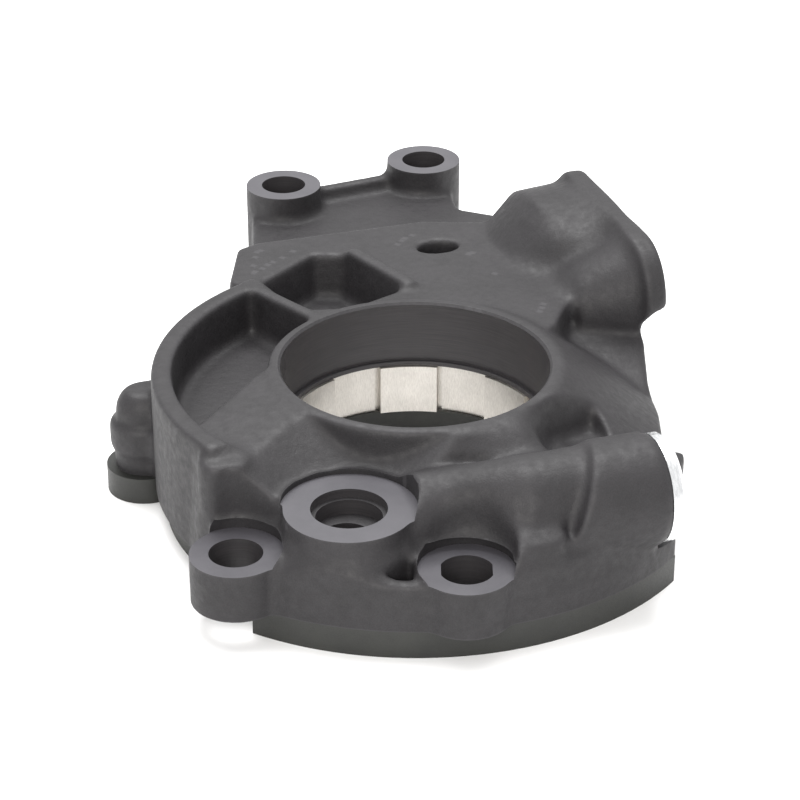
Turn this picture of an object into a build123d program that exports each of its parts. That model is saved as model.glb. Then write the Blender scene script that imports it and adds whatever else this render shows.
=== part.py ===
from build123d import *
from math import atan2, cos, degrees, hypot, pi, radians, sin
import os

# Crank-driven gerotor oil pump, millimetres.
# The origin is on the crank axis at the back face of the rear cover, +Z points to the front,
# and +X runs along the relief valve towards its plug, which is also the way the pickup port faces.

# ---- layers along the crank axis ----
COVER_T = 5.5             # rear cover thickness
ROTOR_T = 10.4            # rotor pack thickness
ROTOR_SIDE_GAP = 0.05     # axial clearance on each side of the rotor pack
PARTING_H = 4.5           # casting parting line above the housing's rear face
DECK_Z = 28.5             # front deck of the housing
RIM_Z = 30.0              # rim round the crank bore, ridge and rib tops
PARTING_STEP = 0.35       # the rear half of the casting is this much smaller all round

# ---- crank bore and rim ----
BORE_R = 26.4             # front bore in the housing
BORE_LIP_R = 25.6         # small lip at the bottom of the front bore
LIP_T = 0.9
BORE_CHAMFER = 0.5        # at the mouth of the front bore
RIM_W = 2.4               # width of the rim round the bore
COVER_BORE_R = 25.8       # bore in the rear cover

# ---- gerotor set ----
LOBES = 10                # lobes of the inner rotor, the outer one has one more
ECC_DEG = 25.0            # direction of the outer rotor's axis from the crank axis
TOOTH_R = 9.0             # radius of the outer rotor's teeth
RING_WALL = 3.1           # least wall between the inner rotor's drive and its lobes
TROCHOID = 0.7952         # eccentricity over the pitch of the teeth, sets how deep the lobes are
OUTER_WALL = 3.15         # least wall of the outer rotor
MESH_GAP = 0.08           # clearance between the rotors
ROOT_GAP = 0.15           # clearance from the inner rotor's tips to the outer rotor's roots
POCKET_GAP = 0.06         # radial running clearance of the outer rotor in its pocket
LOBE_POINTS = 18          # points that shape one lobe

# ---- crank drive in the inner rotor ----
DRIVE_TEETH = 7
DRIVE_MINOR_R = 25.0
DRIVE_MAJOR_R = 26.4
DRIVE_TOOTH_DEG = 27.0
DRIVE_PHASE_DEG = 74.7    # centre of one drive tooth
GROOVE_W = 0.8            # relief groove beside each drive tooth
GROOVE_DEPTH = 0.6        # groove depth beyond the major radius

# ---- port kidneys over the rotors ----
KIDNEY_IN_R = 30.0
KIDNEY_OUT_R = 38.0
INLET_H = 6.5             # the inlet passages are higher than the outlet ones
OUTLET_H = 2.8
INLET_FROM, INLET_TO = 42.0, 76.0
OUTLET_FROM, OUTLET_TO = 218.0, 284.0
SHALLOW_INLET_TO, SHALLOW_OUTLET_TO = 188.0, 366.0
SHALLOW_H = 1.6           # the tails of the kidneys
SHADOW_DEPTH = 1.5        # matching recesses in the rear cover

# ---- mounting bosses ----
BOLT_HOLE_R = 5.0         # clearance hole for the mounting bolt
COVER_HOLE_R = 4.6        # where the near bolts pass through the rear cover
BOLT_FLAT = 4.65          # half the distance across the flats of the double-D hole
BOSS_R = 8.6
BOSS_ROOM = 0.3           # room round a near boss for the bolt head and its tool
NEAR_LEFT = (-45.7, -34.6)
NEAR_RIGHT = (-7.7, -53.0)
NEAR_BOSS_Z = 15.0
FAR_LEFT = (2.3, 103.9)
FAR_RIGHT = (37.9, 108.3)
FAR_BOSS_Z = 25.0
PLATE_Z = 18.8            # front face of the far plate
PLATE_WALL = 3.2
PLATE_SKIN = 4.0
FAR_WEB_Z = 22.0

# ---- outline ----
NEAR_RIM = 1.48           # from the near left bolt's circle to the outline
NEAR_R = hypot(*NEAR_LEFT) + NEAR_RIM     # arc of the flange and the cover on the outlet side
NEAR_FROM, NEAR_TO = 212.0, 308.3
RIDGE_R = 51.6            # outside of the curved ridge
RIDGE_W = 4.2
RIDGE_FROM, RIDGE_TO = 116.0, 203.0
RIGHT_X = 51.3            # right corner of the flange
RIGHT_Y = -16.5
POCKET_FLOOR_Z = 19.5     # floor of the crescent pocket
RIB_W = 2.6

# ---- flange wall on the outlet side ----
WALL_Z, WALL_TO = 16.2, 301.5     # wall beside the right near boss
RAIL_Z, RAIL_W = 14.9, 3.4        # rail between the near bosses
HOLLOW_Z = 12.0           # floor behind the rail

# ---- outlet port ----
PORT = (-24.9, -37.1)
PORT_BOSS_R = 12.1
PORT_BOSS_Z = 22.0
PORT_CBORE_R, PORT_CBORE_DEPTH = 7.1, 1.8
PORT_HOLE_R = 6.2
PORT_RIB_W = 4.2
PORT_RIB_DROP = 2.6       # from the port's face to the start of a rib

# ---- relief valve, along X ----
RELIEF_Y, RELIEF_Z = 13.2 - NEAR_R, 21.0
RELIEF_BORE_R = 5.5
RELIEF_SLIM_R = 8.6
SLIM_BACK, SLIM_UP = 1.6, 0.7     # the slim part's axis is offset from the bore
RELIEF_WIDE_R = 10.8
RELIEF_STEP_X, RELIEF_END_X = 15.2, 31.2
RELIEF_STEP_LEAN = 0.4    # the step to the wide part leans back this much per mm of height
RELIEF_SEAT_X = 5.0       # blind end of the relief bore
RELIEF_FEED_R = 2.6
GALLERY_FROM_X, GALLERY_X = -15.4, -8.0
GALLERY_Y, GALLERY_Z, GALLERY_R = -38.0, 19.3, 7.5
SKIRT_X, SKIRT_R = 10.4, 2.6      # right end of the skirt under the slim part, and its corner
SKIRT_Z = 19.8
PISTON_GAP = 0.03         # radial sliding clearance
PISTON_L = 11.0
PISTON_WALL = 1.3
PISTON_CROWN = 2.5
PISTON_NOSE = 1.0         # gap from the piston's nose to the blind end at rest
PLUG_THREAD_R = 7.0
PLUG_THREAD_L = 7.2
PLUG_FLANGE_R = 10.2
PLUG_FLANGE_T = 2.6
PLUG_ROOM = 1.0           # room round the plug's flange
PLUG_HEX = 8.0
PLUG_HEX_DEPTH = 5.0
SEAL_CORD_R = 0.9         # O-ring under the plug's flange
SEAL_GAP = 0.02
SPRING_WIRE_R = 0.6
SPRING_TURNS = 7
SPRING_GAP = 0.35         # from the coils to the piston's bore

# ---- pickup port, facing +X ----
PICKUP_Y, PICKUP_Z = 46.0, 25.0
PICKUP_BORE_R = 9.5
PICKUP_DEPTH = 8.5        # the tube's seat
PICKUP_INNER_R = 8.5
PICKUP_INNER_DEPTH = 17.0
PICKUP_FACE_X = 58.3
PICKUP_SLAB_T = 4.6
PICKUP_TOP_Z = 40.0
PICKUP_FAR_Y = 62.5
DOME_FROM_Y = 29.0        # near side of the dome at the face
DOME_X, DOME_TOP_Z = 43.0, 38.2   # where the dome starts to fall to the deck
DOME_FOOT_X = 33.0
SCREW_LOBE_Y, SCREW_LOBE_Z, SCREW_LOBE_R = 22.0, 28.5, 11.5
LOBE_FOOT_X, LOBE_FOOT_Z, LOBE_FOOT_R = 42.0, 24.0, 8.0
FLANGE_SCREW_R, FLANGE_SCREW_DEPTH = 2.5, 14.0     # tapping hole for an M6 screw

# ---- rear cover fasteners ----
SCREW_R = 2.5
SCREW_HEAD_R = 4.6
SCREW_L = 10.0
SCREW_SINK = 0.2
SCREW_HOLE_GAP = 0.3
SCREW_SOCKET_R, SCREW_SOCKET_DEPTH = 2.0, 2.0
THREAD_GAP = 0.02
SCREW_RING_R = NEAR_R - 8.3
SCREW_DEGS = (238.0, 283.0, 312.0, 38.0, 92.0)
LUG_OUT, LUG_DEG = 2.7, 157.8     # lug screw, outside the ridge's circle
PAD_IN, PAD_DEG = 1.9, 206.2      # pad screw, inside the ridge's circle
LUG_R = 7.2
LUG_Z = 22.0
PAD_R = 4.6
PAD_Z = 28.0
DOWEL_R = 2.5
DOWEL_L = 9.0
DOWEL_GAP = 0.02
DOWEL_RING_R, DOWEL_DEGS = 46.5, (135.0, 327.0)

# ---- derived levels ----
REAR_Z = COVER_T
PARTING_Z = REAR_Z + PARTING_H
ROTOR_Z = REAR_Z + ROTOR_SIDE_GAP
ROOF_Z = ROTOR_Z + ROTOR_T + ROTOR_SIDE_GAP
INLET_Z = ROOF_Z + INLET_H
OUTLET_Z = ROOF_Z + OUTLET_H
RIM_R = BORE_R + RIM_W
SEAL_RING_R = PLUG_THREAD_R + SEAL_CORD_R + SEAL_GAP
THROUGH = 60.0            # longer than any cut needs

# ---- derived rotor sizes ----
GEN_R = (DRIVE_MAJOR_R + RING_WALL + TOOTH_R) / (1 - TROCHOID / (LOBES + 1))    # tooth centres
ECC = TROCHOID * GEN_R / (LOBES + 1)      # distance between the rotor axes
ECC_X = ECC * cos(radians(ECC_DEG))
ECC_Y = ECC * sin(radians(ECC_DEG))
TIP_R = GEN_R + ECC - TOOTH_R
ROOT_R = TIP_R + ECC + ROOT_GAP
OUTER_R = ROOT_R + OUTER_WALL
POCKET_R = OUTER_R + POCKET_GAP
BOTTOM = (Align.CENTER, Align.CENTER, Align.MIN)


def polar(radius, angle):
    return (radius * cos(radians(angle)), radius * sin(radians(angle)))


def column(x, y, radius, low, high, top_radius=None):
    """A round column, tapered if a top radius is given."""
    if top_radius is None:
        return Pos(x, y, low) * Cylinder(radius, high - low, align=BOTTOM)
    return Pos(x, y, low) * Cone(radius, top_radius, high - low, align=BOTTOM)


def along_x(y, z, radius, left, right):
    """A round bar along X."""
    bar = Cylinder(radius, right - left, align=BOTTOM)
    return Pos(left, y, z) * Rot(0, 90, 0) * bar


def prism(points, low, high, draft=0.0):
    """A straight-sided block over a plan outline, narrowing upwards by the draft angle."""
    turns = zip(points, (*points[1:], points[0]))
    if sum(a[0] * b[1] - a[1] * b[0] for a, b in turns) < 0:
        points = points[::-1]
    face = Pos(0, 0, low) * make_face(Polyline(*points, close=True))
    return extrude(face, amount=high - low, taper=draft)


def sector(inner, outer, start, end, low, high):
    """Part of a ring between two angles."""
    middle = (start + end) / 2
    outline = Curve() + [
        ThreePointArc(polar(outer, start), polar(outer, middle), polar(outer, end)),
        Line(polar(outer, end), polar(inner, end)),
        ThreePointArc(polar(inner, end), polar(inner, middle), polar(inner, start)),
        Line(polar(inner, start), polar(outer, start)),
    ]
    return extrude(Pos(0, 0, low) * make_face(outline), amount=high - low)


def kidney(start, end, low, high):
    """A curved slot with round ends over the rotor chambers."""
    middle_r = (KIDNEY_IN_R + KIDNEY_OUT_R) / 2
    half = (KIDNEY_OUT_R - KIDNEY_IN_R) / 2
    slot = sector(KIDNEY_IN_R, KIDNEY_OUT_R, start, end, low, high)
    for angle in (start, end):
        x, y = polar(middle_r, angle)
        slot += column(x, y, half, low, high)
    return slot


def hull_plate(circles, low, high):
    """A flat plate wrapped round a set of circles given as x, y, radius."""
    edges = []
    for x, y, radius in circles:
        edges += (Pos(x, y) * Circle(radius)).edges()
    return extrude(Pos(0, 0, low) * make_hull(edges), amount=high - low)


LUG_SCREW = polar(RIDGE_R + LUG_OUT, LUG_DEG)
PAD_SCREW = polar(RIDGE_R - PAD_IN, PAD_DEG)


def screw_places():
    return [LUG_SCREW, PAD_SCREW] + [polar(SCREW_RING_R, angle) for angle in SCREW_DEGS]


def dowel_places():
    return [polar(DOWEL_RING_R, angle) for angle in DOWEL_DEGS]


# ---- outlines shared by the housing flange and the rear cover ----
def near_arc():
    middle = (NEAR_FROM + NEAR_TO) / 2
    return ThreePointArc(polar(NEAR_R, NEAR_FROM), polar(NEAR_R, middle), polar(NEAR_R, NEAR_TO))


RIGHT_POINTS = [(48.6, -9), (49.6, -5), (50.8, 2), (54, 12)]


def pump_outline(left_radius, side_points):
    """The plan outline: outlet-side arc, right and far sides, and the ridge arc."""
    left_start = polar(left_radius, RIDGE_FROM)
    left_middle = polar(left_radius, (RIDGE_FROM + RIDGE_TO) / 2)
    left_end = polar(left_radius, RIDGE_TO)
    side = Polyline(polar(NEAR_R, NEAR_TO), *side_points, left_start)
    left = ThreePointArc(left_start, left_middle, left_end)
    foot = Line(left_end, polar(NEAR_R, NEAR_FROM))
    return make_face(Curve() + [near_arc(), side, left, foot])


PLATE_POINTS = (
    (FAR_RIGHT[0] + 5, FAR_RIGHT[1] - 6),
    (41.5, 92.3),
    (49.6, 85.4),
    (49.6, 66.0),
    (-19.0, 66.0),
    (-10.8, 84.9),
    (FAR_LEFT[0] - BOSS_R + 0.6, FAR_LEFT[1]),
    (FAR_LEFT[0], FAR_LEFT[1] + 5),
    (FAR_RIGHT[0], FAR_RIGHT[1] + 3),
)


def flange():
    """The lower half of the casting, up to the parting line."""
    side = [
        (38.6, -39.5), (RIGHT_X, RIGHT_Y), (RIGHT_X - 2.2, RIGHT_Y + 1.2), (46.8, -12), *RIGHT_POINTS,
        (54, 66), (46, 72), (-17, 68), (-25, 56),
    ]
    lower = extrude(Pos(0, 0, REAR_Z) * pump_outline(RIDGE_R - PARTING_STEP, side), amount=PARTING_H)
    lug = column(*LUG_SCREW, LUG_R - 1.2, REAR_Z, PARTING_Z)
    return lower + lug


def far_plate():
    """The plate that carries the far mounting bosses, cored out behind."""
    plate = prism(PLATE_POINTS, REAR_Z, PLATE_Z, 1.5)
    core = prism(
        [(-4.0, 72), (6, 93), (FAR_RIGHT[0] - 5, 95), (43, 83), (43, 72)],
        REAR_Z - 1, PLATE_Z - PLATE_SKIN, 3)
    web = prism([
        FAR_LEFT, FAR_RIGHT,
        (FAR_RIGHT[0], FAR_RIGHT[1] + PLATE_WALL),
        (FAR_LEFT[0], FAR_LEFT[1] + PLATE_WALL),
    ], REAR_Z, FAR_WEB_Z)
    body = plate - core + web
    for x, y in (FAR_LEFT, FAR_RIGHT):
        body += column(x, y, BOSS_R, REAR_Z, FAR_BOSS_Z)
    return body


def near_bosses():
    body = Part()
    for x, y in (NEAR_LEFT, NEAR_RIGHT):
        boss = column(x, y, BOSS_R, REAR_Z, NEAR_BOSS_Z)
        body += fillet(boss.edges().sort_by(Axis.Z)[0], 1.6)
    return body


def near_wall():
    """The flange wall: a rail with a hollow behind it between the bosses, higher on the right."""
    outer = NEAR_R - PARTING_STEP
    left_deg = degrees(atan2(NEAR_LEFT[1], NEAR_LEFT[0])) + 360
    right_deg = degrees(atan2(NEAR_RIGHT[1], NEAR_RIGHT[0])) + 360
    hollow = sector(BORE_LIP_R, outer, left_deg, right_deg, REAR_Z, HOLLOW_Z)
    rail = sector(outer - RAIL_W, outer, left_deg + 2, right_deg - 2, REAR_Z, RAIL_Z)
    right = sector(BORE_LIP_R, outer, right_deg, WALL_TO, REAR_Z, WALL_Z)
    return hollow + rail + right


def port_boss():
    """Outlet port boss with its two ribs that fall to the near bolt bosses."""
    boss = column(*PORT, PORT_BOSS_R + 0.5, REAR_Z, PORT_BOSS_Z, PORT_BOSS_R)
    for x, y in (NEAR_LEFT, NEAR_RIGHT):
        length = hypot(x - PORT[0], y - PORT[1])
        angle = degrees(atan2(y - PORT[1], x - PORT[0]))
        side = Plane.XZ * make_face(Polyline(
            (0, REAR_Z), (length, REAR_Z), (length, NEAR_BOSS_Z - 0.2), (length - BOSS_R, NEAR_BOSS_Z),
            (PORT_BOSS_R, PORT_BOSS_Z - PORT_RIB_DROP), (0, PORT_BOSS_Z - PORT_RIB_DROP), close=True))
        rib = extrude(side, amount=PORT_RIB_W / 2, both=True)
        boss += Pos(PORT[0], PORT[1], 0) * Rot(0, 0, angle) * rib
    apron = column(*PORT, PORT_BOSS_R + 6, HOLLOW_Z, PORT_BOSS_Z - 3.5, PORT_BOSS_R)
    return boss + (apron & column(0, 0, NEAR_R - PARTING_STEP, 0, THROUGH))


def ridge_and_rim():
    """The curved ridge, the bore rim and the crescent pocket between them."""
    floor = sector(BORE_LIP_R, RIDGE_R, RIDGE_FROM - 4, RIDGE_TO + 4, REAR_Z, POCKET_FLOOR_Z)
    ridge = sector(RIDGE_R - RIDGE_W, RIDGE_R, RIDGE_FROM - 3, RIDGE_TO + 2, REAR_Z, RIM_Z)
    rim = column(0, 0, RIM_R + 1.6, REAR_Z, RIM_Z, RIM_R)
    reach = RIDGE_R - BORE_R - 2
    rib = Pos(BORE_R + 1 + reach / 2, 0, 0) * Box(reach, RIB_W, RIM_Z - REAR_Z, align=BOTTOM)
    rib = Pos(0, 0, REAR_Z) * Rot(0, 0, RIDGE_FROM) * rib
    return floor + ridge + rim + rib


def far_block():
    """The deck beyond the bore, with its two pockets and the second rib."""
    block = prism([
        (-25, 50), (-19, 66), (-14, 68), (24, 68), (40, 62), (47, 40), (45, 27), (34, 10), (24, 4), (0, 20),
        (-12, 27),
    ], REAR_Z, DECK_Z, 1.0)
    pocket = prism([(-17.0, 47.0), (-12.5, 33.5), (-4, 31.5), (7.6, 36.0), (1.6, 54.2), (-4, 56.5)],
                   POCKET_FLOOR_Z - 1, RIM_Z + 1, -6)
    small = Pos(22.9, 53.5, DECK_Z - 7) * extrude(Ellipse(4.6, 3.0), amount=9)
    start, end = (3.6, 55.0), (10.6, 35.0)
    length = hypot(end[0] - start[0], end[1] - start[1])
    angle = degrees(atan2(end[1] - start[1], end[0] - start[0]))
    bar = Pos(length / 2, 0, 0) * Box(length, RIB_W, RIM_Z - REAR_Z, align=BOTTOM)
    return block - pocket - small + Pos(start[0], start[1], REAR_Z) * Rot(0, 0, angle) * bar


def near_deck():
    """The deck on the outlet side: it falls away from the rim and drops steeply at its edges."""
    edge = prism([(-49.6, -8), (-49.9, -24), (-44, -30), (-28, -34), (-10, -33), (6, -34), (14, -33),
                  (11.5, -25), (8, -10), (0, 0), (-30, 8)], REAR_Z, THROUGH, 3)
    near_cone = column(0, 0, 54, DECK_Z - 3, RIM_Z - 0.4, RIM_R + 0.6)
    near_cone += column(0, 0, 54, REAR_Z, DECK_Z - 3)
    roof = sector(BORE_LIP_R, 43.5, 205, 312, REAR_Z, OUTLET_Z + 1.8)
    right = column(0, 0, RIGHT_X + 5, PARTING_Z, RIM_Z - 0.5, RIM_R + 1)
    keep = prism([(0, 0), (12, -40), (37, -40), (44, -22), *RIGHT_POINTS, (54, 40), (30, 40)],
                 REAR_Z, RIM_Z + 1)
    valley = along_x(-38, 34, 9, -16, 18)
    recess = prism([(15.5, -27.0), (20.5, -23.0), (29.5, -19.5), (30.5, -25), (27, -32), (16, -32)],
                   ROOF_Z + 4.0, RIM_Z + 2, -10)
    scoop = column(*PORT, PORT_BOSS_R + 0.2, PORT_BOSS_Z - 0.3, RIM_Z + 1, PORT_BOSS_R + 14)
    return (near_cone & edge) + (right & keep) - valley - recess - scoop + roof


def relief_boss():
    """The relief valve boss: wide at the plug, slim over the outlet gallery, with a skirt below."""
    slim_y = RELIEF_Y + SLIM_BACK
    slim_z = RELIEF_Z + SLIM_UP
    plane = Plane(origin=(GALLERY_X, GALLERY_Y, GALLERY_Z), z_dir=(1, 0, 0))
    joined = Plane(origin=(RELIEF_SEAT_X, slim_y, slim_z), z_dir=(1, 0, 0))
    gallery = loft([plane * Circle(GALLERY_R), joined * Circle(RELIEF_SLIM_R)])
    gallery += along_x(GALLERY_Y, GALLERY_Z, GALLERY_R, GALLERY_FROM_X, GALLERY_X)
    slim = along_x(slim_y, slim_z, RELIEF_SLIM_R, RELIEF_SEAT_X, RELIEF_STEP_X + 5)
    wide = along_x(RELIEF_Y, RELIEF_Z, RELIEF_WIDE_R, 0, RELIEF_END_X)
    wide = chamfer(wide.edges().sort_by(Axis.X)[-1], 0.8)
    lean = Plane(origin=(RELIEF_STEP_X, RELIEF_Y, RELIEF_Z),
                 z_dir=(1, -0.6 * RELIEF_STEP_LEAN, -0.8 * RELIEF_STEP_LEAN))
    wide = split(wide, bisect_by=lean, keep=Keep.TOP)
    front = PARTING_STEP + 0.6 - NEAR_R
    section = Plane(origin=(-8, 0, 0), x_dir=(0, 1, 0), z_dir=(1, 0, 0)) * make_face(Polyline(
        (front, REAR_Z), (front + 0.4, SKIRT_Z), (slim_y - RELIEF_SLIM_R + 0.8, RELIEF_Z + 1.4),
        (slim_y, slim_z), (slim_y + 4, REAR_Z), close=True))
    corner = SKIRT_X - SKIRT_R
    skirt = extrude(section, amount=SKIRT_X + 8) & hull_plate([
        (corner, front + SKIRT_R + 0.4, SKIRT_R), (corner, slim_y + 2, SKIRT_R),
        (-6, front + SKIRT_R, SKIRT_R), (-6, slim_y + 2, SKIRT_R)], REAR_Z, RELIEF_Z + 8)
    skirt &= column(0, 0, NEAR_R - PARTING_STEP, 0, THROUGH)
    under = prism([(-8, slim_y), (RELIEF_END_X - 1, RELIEF_Y - 2), (RELIEF_END_X - 1, RELIEF_Y + 10),
                   (-12, RELIEF_Y + 10)], REAR_Z, RELIEF_Z)
    body = gallery + slim + wide + skirt + under
    return body - column(*PORT, PORT_BOSS_R + BOSS_ROOM, PORT_BOSS_Z, THROUGH)


def arch(x, near_y, far_y, top_z):
    """A round-topped section across X that stands on the housing's rear face."""
    width = far_y - near_y
    side_z = top_z - 0.12 * width
    outline = Curve() + [
        Line((near_y, REAR_Z), (far_y, REAR_Z)),
        Line((far_y, REAR_Z), (far_y, side_z)),
        ThreePointArc((far_y, side_z), ((near_y + far_y) / 2, top_z), (near_y, side_z)),
        Line((near_y, side_z), (near_y, REAR_Z)),
    ]
    return Plane(origin=(x, 0, 0), x_dir=(0, 1, 0), z_dir=(1, 0, 0)) * make_face(outline)


def pickup_tower():
    """The pickup port: a face plate backed by a dome over the bore and by a cone for the screw."""
    face_plane = Plane(origin=(PICKUP_FACE_X, 0, 0), x_dir=(0, 1, 0), z_dir=(1, 0, 0))
    lobe_low = (SCREW_LOBE_Y - SCREW_LOBE_R, SCREW_LOBE_Z)
    lobe_mid = (SCREW_LOBE_Y - SCREW_LOBE_R * cos(pi / 4), SCREW_LOBE_Z + SCREW_LOBE_R * sin(pi / 4))
    lobe_top = (SCREW_LOBE_Y, SCREW_LOBE_Z + SCREW_LOBE_R)
    foot = (SCREW_LOBE_Y - 9, REAR_Z)
    far_foot = (PICKUP_FAR_Y, REAR_Z)
    shoulder = (PICKUP_FAR_Y, PICKUP_TOP_Z - 5)
    crest = (PICKUP_FAR_Y - 6.5, PICKUP_TOP_Z)
    outline = Curve() + [
        Line(foot, lobe_low),
        ThreePointArc(lobe_low, lobe_mid, lobe_top),
        Line(lobe_top, crest),
        ThreePointArc(crest, (PICKUP_FAR_Y - 1.8, PICKUP_TOP_Z - 1.6), shoulder),
        Line(shoulder, far_foot),
        Line(far_foot, foot),
    ]
    slab = extrude(face_plane * make_face(outline), amount=-PICKUP_SLAB_T)
    back = PICKUP_FACE_X - 1
    dome = loft([
        arch(back, DOME_FROM_Y, PICKUP_FAR_Y, PICKUP_TOP_Z),
        arch(DOME_X, DOME_FROM_Y + 5, PICKUP_FAR_Y, DOME_TOP_Z),
    ]) + loft([
        arch(DOME_X, DOME_FROM_Y + 5, PICKUP_FAR_Y, DOME_TOP_Z),
        arch(DOME_FOOT_X, DOME_FROM_Y + 8, PICKUP_FAR_Y - 1, DECK_Z - 1),
    ])
    cone = loft([
        Plane(origin=(back, SCREW_LOBE_Y, SCREW_LOBE_Z), z_dir=(1, 0, 0)) * Circle(SCREW_LOBE_R),
        Plane(origin=(LOBE_FOOT_X, SCREW_LOBE_Y + 3, LOBE_FOOT_Z), z_dir=(1, 0, 0)) * Circle(LOBE_FOOT_R),
    ])
    block = prism([(34, 34), (42, 24), (54, 14), (54, 66), (44, 71), (34, 62)], REAR_Z, DECK_Z - 1.5, 2)
    fall = Plane(origin=(54, 0, 0), x_dir=(0, 1, 0), z_dir=(1, 0, 0)) * make_face(Polyline(
        (26, REAR_Z), (26, 26), (20, 22.5), (12, 20.5), (4, 18), (-5, 14), (-9, 12), (-9, REAR_Z),
        close=True))
    side = extrude(fall, amount=-16)
    side &= prism([(30, 30), (54, 30), *RIGHT_POINTS[::-1], (30, -9)], REAR_Z, THROUGH)
    undercut = Pos(PICKUP_FACE_X, 0, REAR_Z - 1) * Box(
        8.6, 2 * (SCREW_LOBE_Y + 4), SCREW_LOBE_Z - REAR_Z, align=BOTTOM)
    undercut = fillet(undercut.edges().filter_by(Axis.Y).sort_by(Axis.X)[:2].sort_by(Axis.Z)[-1], 4)
    return slab + dome + cone + block + side - undercut


def left_lug():
    x, y = LUG_SCREW
    lug = hull_plate([(x, y, LUG_R - 0.4), (x + 7, y + 1, LUG_R + 1)], PARTING_Z, LUG_Z)
    lug = fillet(lug.edges().group_by(Axis.Z)[-1], 4.5)
    return lug - column(0, 0, RIDGE_R - 1, 0, THROUGH)


def housing_body():
    body = flange() + far_plate() + ridge_and_rim() + far_block() + near_deck() + near_wall()
    body += relief_boss() + pickup_tower() + near_bosses() + port_boss() + left_lug()
    body += column(*PAD_SCREW, PAD_R, REAR_Z, PAD_Z)
    for angle in SCREW_DEGS:
        x, y = polar(SCREW_RING_R, angle)
        body += column(x, y, SCREW_HEAD_R, REAR_Z, SCREW_L + 2.4)
    return body


def kidneys(low, inlet_high, outlet_high, tail_high):
    """The inlet and outlet kidneys with their shallow tails."""
    slots = kidney(INLET_FROM, INLET_TO, low, inlet_high) + kidney(OUTLET_FROM, OUTLET_TO, low, outlet_high)
    slots += kidney(INLET_TO - 4, SHALLOW_INLET_TO, low, tail_high)
    return slots + kidney(OUTLET_TO - 4, SHALLOW_OUTLET_TO, low, tail_high)


def oil_ways():
    """Kidneys, inlet and outlet passages, pickup bore, relief bore and its feed."""
    ways = kidneys(ROOF_Z - 1, INLET_Z, OUTLET_Z, ROOF_Z + SHALLOW_H)
    ways += along_x(PICKUP_Y, PICKUP_Z, PICKUP_BORE_R, PICKUP_FACE_X - PICKUP_DEPTH, PICKUP_FACE_X + 1)
    ways += along_x(PICKUP_Y, PICKUP_Z, PICKUP_INNER_R, PICKUP_FACE_X - PICKUP_INNER_DEPTH, PICKUP_FACE_X)
    ways += hull_plate([(*polar(34, 46), 3.5), (45.4, 42.6, 3.5), (*polar(34, 66), 3.5), (42, 49, 3.5)],
                       ROOF_Z + 1.5, INLET_Z)
    ways += column(*PORT, PORT_HOLE_R, ROOF_Z + 1.2, PORT_BOSS_Z + 1)
    ways += column(PORT[0] - 1, PORT[1] - 1.5, PORT_HOLE_R - 1.6, SCREW_L + 3.2, OUTLET_Z)
    ways += column(*PORT, PORT_CBORE_R, PORT_BOSS_Z - PORT_CBORE_DEPTH, PORT_BOSS_Z + 1)
    ways += hull_plate([(*polar(36, 236), 4.0), (*PORT, 5.0)], ROOF_Z + 1.2, OUTLET_Z)
    ways += along_x(RELIEF_Y, RELIEF_Z, RELIEF_BORE_R, RELIEF_SEAT_X, RELIEF_END_X + 1)
    ways += along_x(RELIEF_Y, RELIEF_Z, PLUG_THREAD_R + THREAD_GAP,
                    RELIEF_END_X - PLUG_THREAD_L - 1, RELIEF_END_X + 1)
    ways += along_x(RELIEF_Y, RELIEF_Z, SEAL_RING_R + SEAL_CORD_R + SEAL_GAP,
                    RELIEF_END_X - 2 * SEAL_CORD_R - SEAL_GAP, RELIEF_END_X + 1)
    feed = Cylinder(RELIEF_FEED_R, 12, align=BOTTOM)
    return ways + Pos(RELIEF_SEAT_X + RELIEF_FEED_R + 0.3, RELIEF_Y, OUTLET_Z - 0.4) * Rot(-90, 0, 0) * feed


def double_d():
    round_hole = column(*NEAR_RIGHT, BOLT_HOLE_R, REAR_Z - 1, NEAR_BOSS_Z + 1)
    flats = Pos(NEAR_RIGHT[0], NEAR_RIGHT[1], 0) * Rot(0, 0, -18) * Box(2 * BOLT_FLAT, 30, 2 * THROUGH)
    return round_hole & flats


def housing():
    body = housing_body()
    body -= column(0, 0, BORE_LIP_R, REAR_Z - 1, THROUGH)
    body -= column(0, 0, BORE_R, ROOF_Z + LIP_T, THROUGH)
    body -= column(0, 0, BORE_R, RIM_Z - BORE_CHAMFER, RIM_Z + 0.1, BORE_R + BORE_CHAMFER + 0.1)
    body -= column(ECC_X, ECC_Y, POCKET_R, REAR_Z - 1, ROOF_Z)
    body -= oil_ways()
    for place in (NEAR_LEFT, FAR_LEFT, FAR_RIGHT):
        body -= column(*place, BOLT_HOLE_R, REAR_Z - 1, FAR_BOSS_Z + 1)
    for place in (NEAR_LEFT, NEAR_RIGHT):
        body -= column(*place, BOSS_R + BOSS_ROOM, NEAR_BOSS_Z, THROUGH)
    body -= along_x(RELIEF_Y, RELIEF_Z, PLUG_FLANGE_R + PLUG_ROOM, RELIEF_END_X, THROUGH)
    body -= double_d()
    body -= along_x(SCREW_LOBE_Y, SCREW_LOBE_Z, FLANGE_SCREW_R,
                    PICKUP_FACE_X - FLANGE_SCREW_DEPTH, PICKUP_FACE_X + 1)
    for x, y in screw_places():
        body -= column(x, y, SCREW_R + THREAD_GAP, REAR_Z - 1, SCREW_L + 1)
    for x, y in dowel_places():
        body -= column(x, y, DOWEL_R + DOWEL_GAP, REAR_Z - 1, REAR_Z + DOWEL_L / 2 + 1)
    return body


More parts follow.
